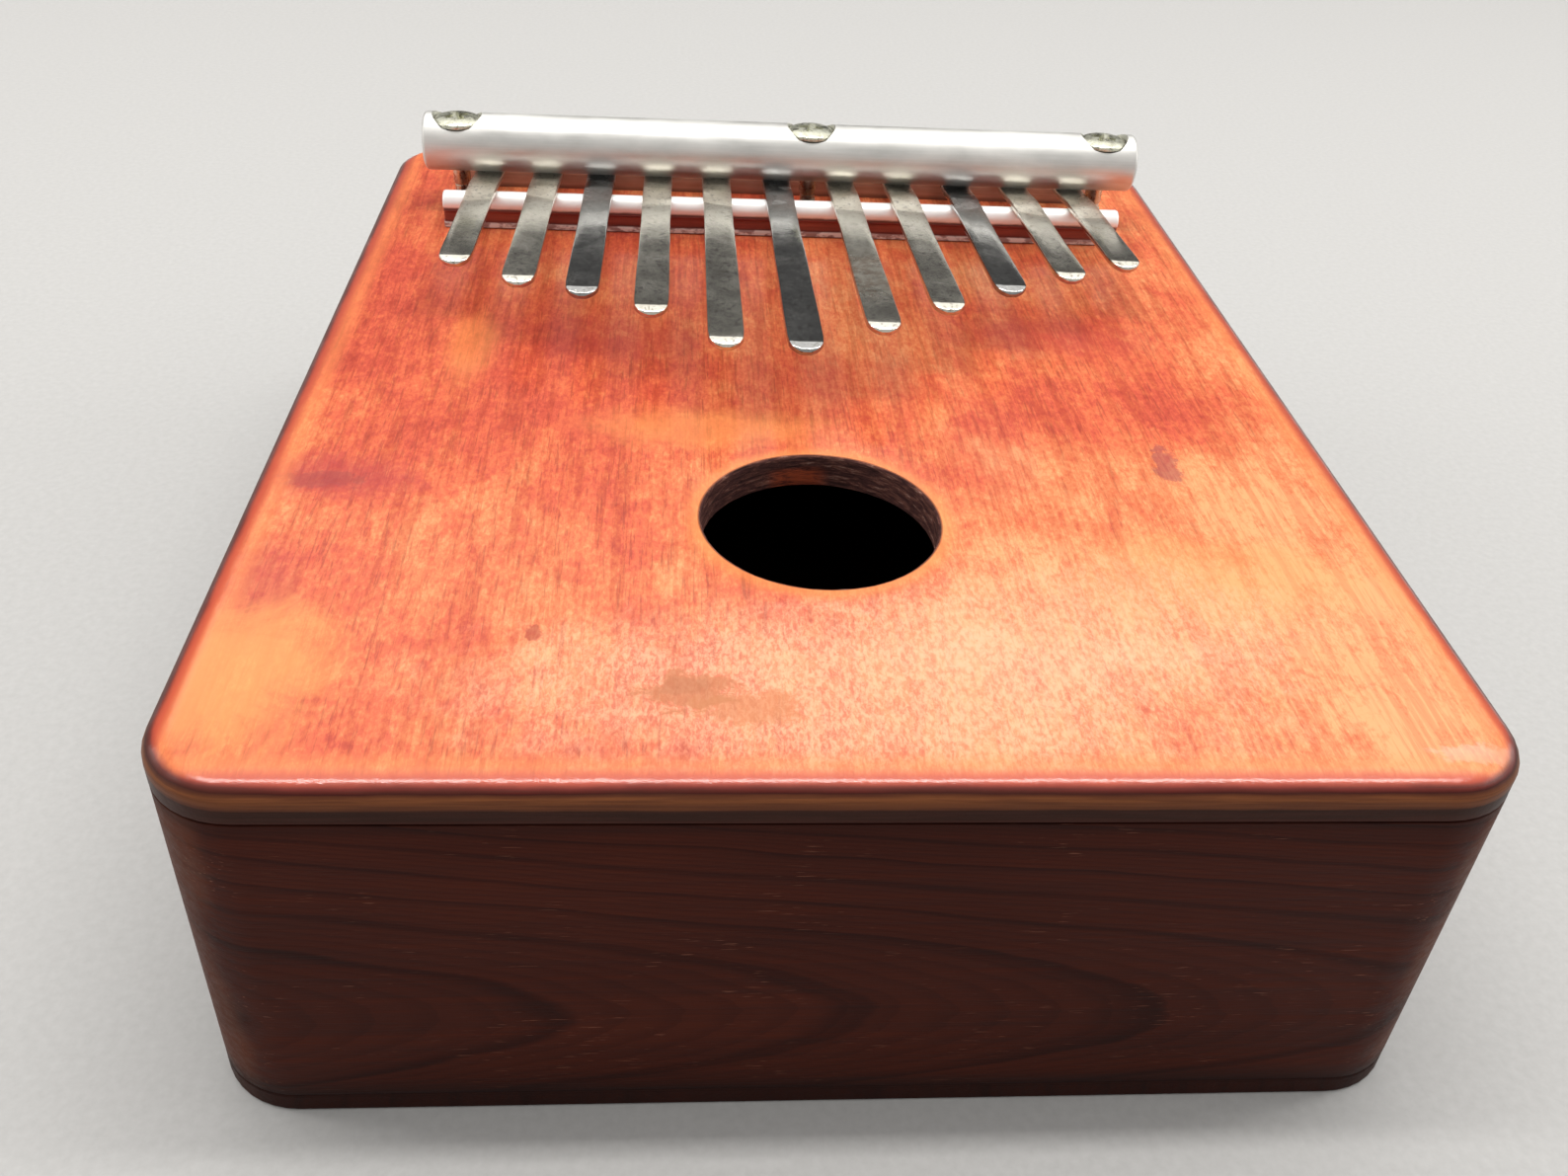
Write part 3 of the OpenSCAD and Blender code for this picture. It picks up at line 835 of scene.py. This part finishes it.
def build_bar():
    """Round bar with softened ends, a little uneven, countersunk for the three screws."""
    bar = span("pressure_bar")
    r, half, edge = bar.size.z / 2, bar.size.x / 2, 0.55 * MM
    end_steps, steps = 6, 70
    turns = [math.pi / 2 * k / end_steps for k in range(1, end_steps + 1)]
    end = [(0.4 * r, -half), (r - edge, -half)]
    end += [(r - edge * (1 - math.sin(t)), edge * (1 - math.cos(t)) - half) for t in turns]
    straight = [(r, edge - half + (2 * half - 2 * edge) * k / steps) for k in range(1, steps)]
    profile = end + straight + [(a, -b) for a, b in reversed(end)]
    piece = turned("clamp_bar", profile, bar.mid, 96, "X", 40)
    for v in piece.data.vertices:
        v.co.z += wobble(v.co.x, 0, 0, 0.02, 0.03 * MM, 4)
    neck, mouth = SHANK_R + COUNTERSINK_GAP, HEAD_R + COUNTERSINK_GAP
    sink = ((neck, -2 * bar.size.z), (neck, -HEAD_CONE - HEAD_RIM), (mouth, -HEAD_RIM),
            (mouth + 0.05 * MM, bar.size.z))
    cutters = []
    for name in SCREWS:
        screw = span(name)
        seat = Vector((screw.mid.x, screw.mid.y, screw.high.z - HEAD_DOME))
        cutters.append(turned("sink", sink, seat, 64))
    carve(piece, cutters)
    dress(piece, aluminium(), nodes=("pressure_bar",))


def cross_recess(centre, turn):
    """Cutter for a cross recess: two tapered blades."""
    blades = []
    top, bottom = HEAD_DOME + 0.4 * MM, -1.0 * MM
    for quarter in (0, 90):
        a = math.radians(turn + quarter)
        along, across = Vector((math.cos(a), math.sin(a), 0)), Vector((-math.sin(a), math.cos(a), 0))
        rings = []
        for z, length, width in ((bottom, 0.35 * MM, 0.22 * MM), (0, 1.45 * MM, 0.42 * MM),
                                 (top, 2.05 * MM, 0.55 * MM)):
            corners = ((-1, -1), (1, -1), (1, 1), (-1, 1))
            rings.append([tuple(centre + along * length * i + across * width * j
                                + Vector((0, 0, z))) for i, j in corners])
        blades.append(loft("blade", rings))
    return blades


def screw_ring(centre, height, radius_at):
    """One ring of a screw's mesh, its radius given by a function of the share of a turn."""
    ring = []
    for k in range(SCREW_SEGMENTS):
        a = 2 * math.pi * k / SCREW_SEGMENTS
        r = radius_at(k / SCREW_SEGMENTS)
        ring.append(tuple(centre + Vector((r * math.cos(a), r * math.sin(a), height))))
    return ring


def build_screw(node, turn, metal):
    """Countersunk wood screw: domed head, cross recess, plain neck and a real thread."""
    screw = span(node)
    centre = Vector((screw.mid.x, screw.mid.y, screw.high.z - HEAD_DOME))
    length = centre.z - screw.low.z
    neck, start = -9 * MM, -9.5 * MM              # where the neck ends and the thread starts
    pitch, point, ridge_out, per_pitch = 1.35 * MM, 4.5 * MM, 0.42 * MM, 14
    core = 0.85 * SHANK_R
    head = [(0.12 * MM, HEAD_DOME)]
    head += [(HEAD_R * math.sin(t) * 0.985, HEAD_DOME * math.cos(t))
             for t in (math.pi / 2 * k / 10 for k in range(1, 10))]
    head += [(HEAD_R * 0.995, 0.0), (HEAD_R, -0.08 * MM), (HEAD_R, -HEAD_RIM),
             (HEAD_R - 0.12 * MM, -HEAD_RIM - 0.12 * MM),
             (SHANK_R, -HEAD_RIM - HEAD_CONE), (SHANK_R, neck), (core, neck - 0.4 * MM)]
    rings = [screw_ring(centre, h, lambda share, r=r: r) for r, h in head]
    count = int((length + start) / pitch * per_pitch)
    for i in range(count + 1):
        h = start - (length + start) * i / count
        taper = min(1.0, (length + h) / point)
        grow = min(1.0, i / per_pitch)

        def thread(share, h=h, taper=taper, grow=grow):
            phase = (h / pitch - share) % 1.0
            ridge = max(0.0, 1 - abs(phase - 0.5) / 0.22)
            return taper * (core + ridge_out * ridge * grow) + 0.02 * MM

        rings.append(screw_ring(centre, h, thread))
    piece = loft(node + "_body", rings, angle=38)
    carve(piece, cross_recess(centre, turn))
    dress(piece, metal, nodes=(node,))


# ---------------------------------------------------------------- tines

TINE_T = 0.8 * MM
TIP_BEND = 1.15 * MM
TIP_DROP = 0.40 * MM
TIP_ROUND = 1.75 * MM


def hermite(y0, z0, slope0, y1, z1, slope1, steps):
    """Points along a smooth curve between two places with known slopes dz/dy."""
    run = y1 - y0
    points = []
    for k in range(steps):
        t = k / steps
        h00, h10 = 2 * t ** 3 - 3 * t ** 2 + 1, t ** 3 - 2 * t ** 2 + t
        h01, h11 = 3 * t ** 2 - 2 * t ** 3, t ** 3 - t ** 2
        z = h00 * z0 + h10 * run * slope0 + h01 * z1 + h11 * run * slope1
        points.append((y0 + run * t, z))
    return points


def tine_path(number):
    """The tine's underside from its tail to its tip, as (y, z)."""
    heel, tongue = span(f"tine_{number}_heel"), span(f"tine_{number}_tongue")
    rear_bridge = span("rear_bridge")
    pivot = Vector(joints[f"tine_{number}_pluck"]["pos_m"])
    rear, bar = rear_bridge.mid.y, span("pressure_bar").mid.y
    rear_z = rear_bridge.high.z + 0.12 * MM
    bar_z = heel.low.z - 0.02 * MM
    rod_z = pivot.z - TINE_T / 2 - 0.04 * MM
    rise = math.tan(math.radians(4))
    arch = 0.06 * MM                  # how far the free part sags between its ends
    rear_slope = (rear_z - bar_z) / (rear - bar)
    tail_z = rear_z + rear_slope * (heel.high.y - rear)
    path = hermite(heel.high.y, tail_z, rear_slope, rear, rear_z, rear_slope, 4)
    path += hermite(rear, rear_z, rear_slope, bar, bar_z, 0.0, 8)
    path += hermite(bar, bar_z, 0.0, pivot.y, rod_z, -rise * 1.15, 10)
    bend_y = tongue.low.y + TIP_BEND
    bend_z = rod_z + rise * (pivot.y - bend_y)
    steps = max(12, round((pivot.y - bend_y) / (1.6 * MM)))
    for k in range(steps):
        t = k / steps
        path.append((pivot.y + (bend_y - pivot.y) * t,
                     rod_z + (bend_z - rod_z) * t - arch * math.sin(math.pi * t)))
    for k in range(9):
        t = k / 8
        path.append((bend_y - TIP_BEND * t,
                     bend_z + rise * TIP_BEND * t * (1 - t) - TIP_DROP * t ** 1.5))
    return path


def tine_half_width(number, half, y, from_tip, from_tail):
    """Half the width at y: a little waisted, rounded at the tip and narrowed at the tail."""
    w = half * (1 - 0.045 * math.exp(-((y - 30 * MM) / (16 * MM)) ** 2))
    if from_tip < TIP_ROUND:
        w -= TIP_ROUND - math.sqrt(max(0.0, TIP_ROUND ** 2 - (TIP_ROUND - from_tip) ** 2))
    w -= max(0.0, 0.5 * MM - from_tail)
    w = max(w, half * 0.32)
    return w + wobble(0, y, number, 0.01, 0.04 * MM, number)


def tine_section(w, top):
    """Outline (u, v) across a tine of half width w and thickness top, with softened edges."""
    edge = 0.16 * MM
    return ((-w + edge, 0), (w - edge, 0), (w - 0.3 * edge, 0.3 * edge), (w, edge),
            (w, top - edge), (w - 0.3 * edge, top - 0.3 * edge), (w - edge, top),
            (0.5 * w, top), (0.0, top), (-0.5 * w, top),
            (edge - w, top), (0.3 * edge - w, top - 0.3 * edge), (-w, top - edge),
            (-w, edge), (0.3 * edge - w, 0.3 * edge))


def build_tine(number):
    """One whole tine: clamped heel and free tongue in a single strip."""
    tongue = span(f"tine_{number}_tongue")
    path = tine_path(number)
    start_y, tip_y = path[0][0], path[-1][0]
    bevel = 0.22 * MM
    rings = []
    for k, (y, z) in enumerate(path):
        ahead = path[min(k + 1, len(path) - 1)]
        behind = path[max(k - 1, 0)]
        tangent = Vector((ahead[0] - behind[0], ahead[1] - behind[1])).normalized()
        normal = Vector((tangent.y, -tangent.x))
        if normal.y < 0:
            normal = -normal
        w = tine_half_width(number, tongue.size.x / 2, y, y - tip_y, start_y - y)
        thin = max(0.0, 1 - (y - tip_y) / bevel)
        section = tine_section(w, TINE_T - 0.25 * TINE_T * thin ** 2)
        rings.append([(tongue.mid.x + u, y + normal.x * v, z + normal.y * v) for u, v in section])
    tine = loft(f"tine_{number}", rings, angle=40)
    dress(tine, spring_steel(number), body=None,
          nodes=(f"tine_{number}_heel", f"tine_{number}_tongue"))
    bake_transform(tine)


# ---------------------------------------------------------------- stage, lights and camera

def build_stage():
    """A plain pale floor. It is open under the box, so light reaches the underside too."""
    size, inset = 6.0, 1.5 * MM
    inner = rounded_outline(HALF_W - inset, HALF_L - inset, CORNER_R - inset, 6, 4)
    reach = [size / max(abs(u), abs(v)) for u, v in inner]
    outer = [(u * k, v * k) for (u, v), k in zip(inner, reach)]
    n = len(inner)
    mesh = bpy.data.meshes.new("floor")
    faces = [(k, n + k, n + (k + 1) % n, (k + 1) % n) for k in range(n)]
    mesh.from_pydata([(u, v, 0) for u, v in inner + outer], [], faces)
    floor = add_object("floor", mesh)
    s = Shader("floor_paper", Specular_IOR_Level=0.2)
    fibres = s.noise(s.stretch(900, 900, 900), 4, 0.6)
    colour = s.ramp(fibres, ((0.3, (0.46, 0.457, 0.45)), (0.7, (0.51, 0.507, 0.50))))
    colour = s.mix(s.window(s.length(s.x, s.y), 0.45, 2.2), colour, (0.93, 0.925, 0.915))
    floor.data.materials.append(s.finish(colour, s.window(fibres, 0.3, 0.7, 0.7, 0.9),
                                         s.bump(fibres, 0.03 * MM, 0.5)))


def build_world():
    """Bright overhead, fainter at the sides, and dark low down beyond the far end, as in a tent.

    The dark part is only for what metal and varnish mirror; the room itself looks pale.
    """
    world = bpy.data.worlds.new("studio")
    bpy.context.scene.world = world
    world.use_nodes = True
    nodes, links = world.node_tree.nodes, world.node_tree.links
    w = Nodes(world.node_tree, "Generated")
    dark = w.times(w.window(w.z, 0.44, 0.60, 0.77, 0.0), w.window(w.y, 0.25, 0.60))
    height = w.add(w.window(w.z, 0.0, 0.85, 0.58, 0.70), w.window(w.z, -0.20, -0.02, 0.90, 0.0))
    mirror = nodes.new("ShaderNodeBackground")
    mirror.inputs["Color"].default_value = (1.0, 0.985, 0.965, 1.0)
    w.put(mirror.inputs["Strength"], w.less(height, w.times(height, dark)))
    room = nodes.new("ShaderNodeBackground")
    room.inputs["Color"].default_value = (0.80, 0.80, 0.79, 1.0)
    room.inputs["Strength"].default_value = 0.68
    mix = nodes.new("ShaderNodeMixShader")
    links.new(nodes.new("ShaderNodeLightPath").outputs["Is Camera Ray"], mix.inputs[0])
    links.new(mirror.outputs[0], mix.inputs[1])
    links.new(room.outputs[0], mix.inputs[2])
    links.new(mix.outputs[0], nodes["World Output"].inputs["Surface"])


def softbox(name, place, aim, width, height, power, colour=(1.0, 0.98, 0.95)):
    lamp = bpy.data.lights.new(name, "AREA")
    lamp.shape, lamp.size, lamp.size_y = "RECTANGLE", width, height
    lamp.energy, lamp.color = power, colour
    light = bpy.data.objects.new(name, lamp)
    bpy.context.scene.collection.objects.link(light)
    light.location = place
    light.rotation_euler = (Vector(aim) - Vector(place)).to_track_quat("-Z", "Y").to_euler()


def build_lights():
    heart = (0, 0, TOP)
    softbox("key_overhead", (0.05, 0.45, 0.85), heart, 1.5, 0.9, 4.6)
    softbox("top_strip", (0.0, 0.03, 0.92), heart, 1.2, 0.06, 5.4)
    softbox("left_panel", (-0.75, 0.05, 0.35), heart, 0.6, 0.5, 1.3)
    softbox("right_panel", (0.75, 0.05, 0.35), heart, 0.6, 0.5, 1.5)


def build_camera():
    """Seen from above the player's end, a little left of the middle."""
    lens_mm, sensor_mm = 32.69, 36.0
    pan, down, tilt = -5.38, 36.2, 3.74      # degrees
    camera = bpy.data.objects.new("camera", bpy.data.cameras.new("camera"))
    camera.data.lens, camera.data.sensor_width = lens_mm, sensor_mm
    camera.data.clip_start = 0.005
    place = Matrix.Translation((-15.5 * MM, -158.5 * MM, 124.9 * MM))
    turn = Matrix.Rotation(math.radians(pan), 4, "Z")
    nod = Matrix.Rotation(math.radians(90 - down), 4, "X")
    lean = Matrix.Rotation(math.radians(tilt), 4, "Z")
    camera.matrix_world = place @ turn @ nod @ lean
    bpy.context.scene.collection.objects.link(camera)
    bpy.context.scene.camera = camera


build_camera()
build_box()
build_front_bridge()
build_front_rod()
build_rear_bridge()
build_bar()
plating = zinc()
for screw_node, cross_turn in zip(SCREWS, (28, -12, 61)):
    build_screw(screw_node, cross_turn, plating)
for tine_number in TINES:
    build_tine(tine_number)
build_stage()
build_world()
build_lights()
bpy.context.scene.view_settings.view_transform = "Standard"
